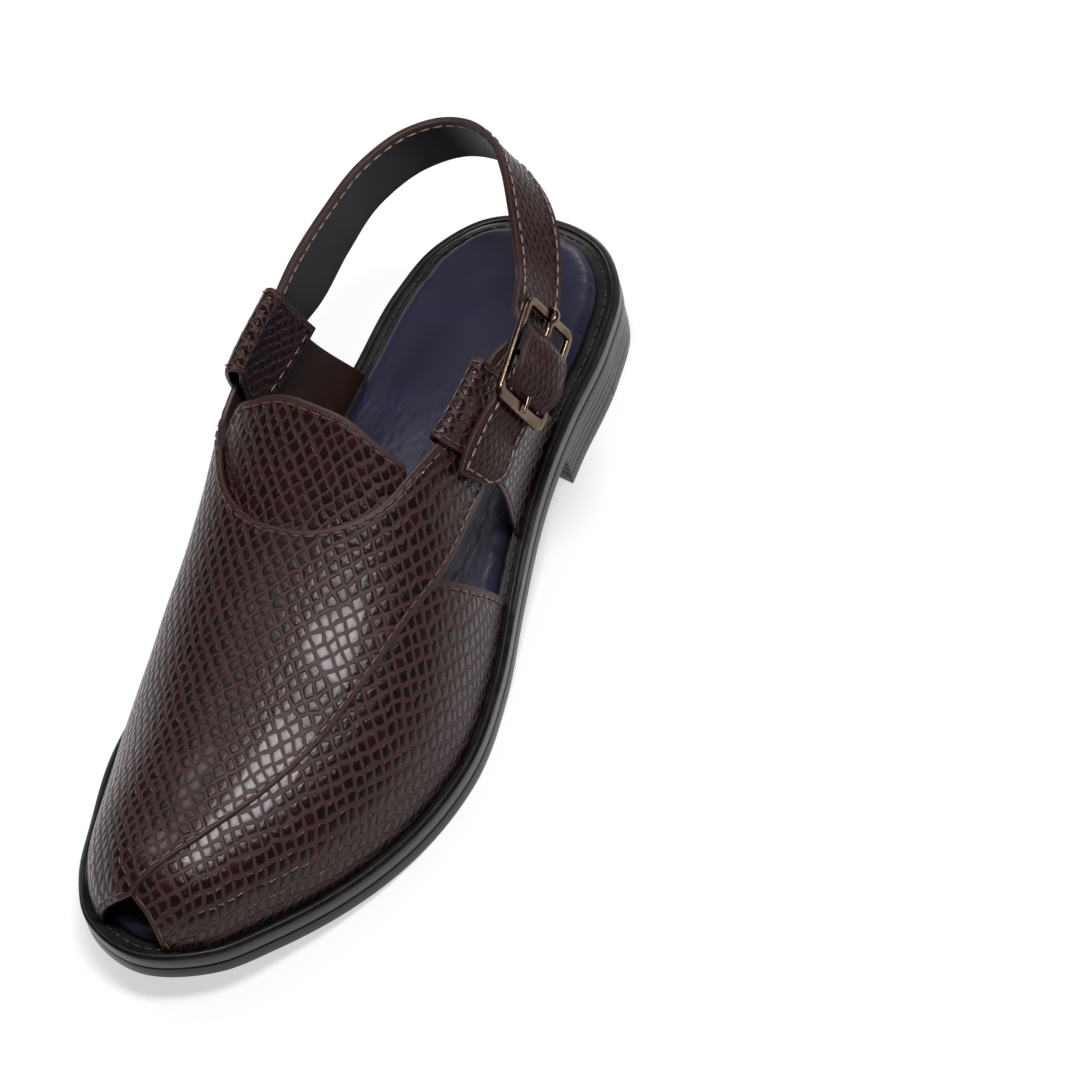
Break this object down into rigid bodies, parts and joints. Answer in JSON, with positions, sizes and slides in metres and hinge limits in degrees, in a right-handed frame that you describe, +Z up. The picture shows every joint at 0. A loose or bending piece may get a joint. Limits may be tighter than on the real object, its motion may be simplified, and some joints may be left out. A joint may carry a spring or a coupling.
{
  "type": "peshawari chappal",
  "caption": "Left leather sandal with a crossed vamp, open toe, side cut-outs, looped quarters and a buckled heel strap on a flat welted sole.",
  "frame": {"origin": "on the floor, under the middle of the sole's outline", "axes": "+X along the shoe to the toe, +Y to the outer side of the left foot, +Z up"},
  "size_m": [0.2917, 0.1092, 0.091],
  "materials": {
    "embossed_leather": "dark brown snake-embossed leather, semi-gloss",
    "footbed_leather": "navy smooth leather, satin",
    "black_edge": "black waxed edge, satin",
    "board": "insole board, matt",
    "sole_leather": "burgundy polished sole leather",
    "rubber": "black rubber, matt",
    "antique_brass": "dark antique brass, brushed"
  },
  "bodies": {
    "root": {"outsole": "sole_leather", "forefoot_tread": "rubber", "heel_stack": "black_edge", "heel_top_leather": "sole_leather", "heel_top_rubber": "rubber", "welt": "black_edge", "insole": "board", "footbed": "footbed_leather", "upper": "embossed_leather", "tongue_tab": "embossed_leather", "quarter_inner": "embossed_leather", "quarter_outer": "embossed_leather", "heel_strap": "embossed_leather", "buckle_frame": "antique_brass", "buckle_prong": "antique_brass"}
  },
  "joints": []
}
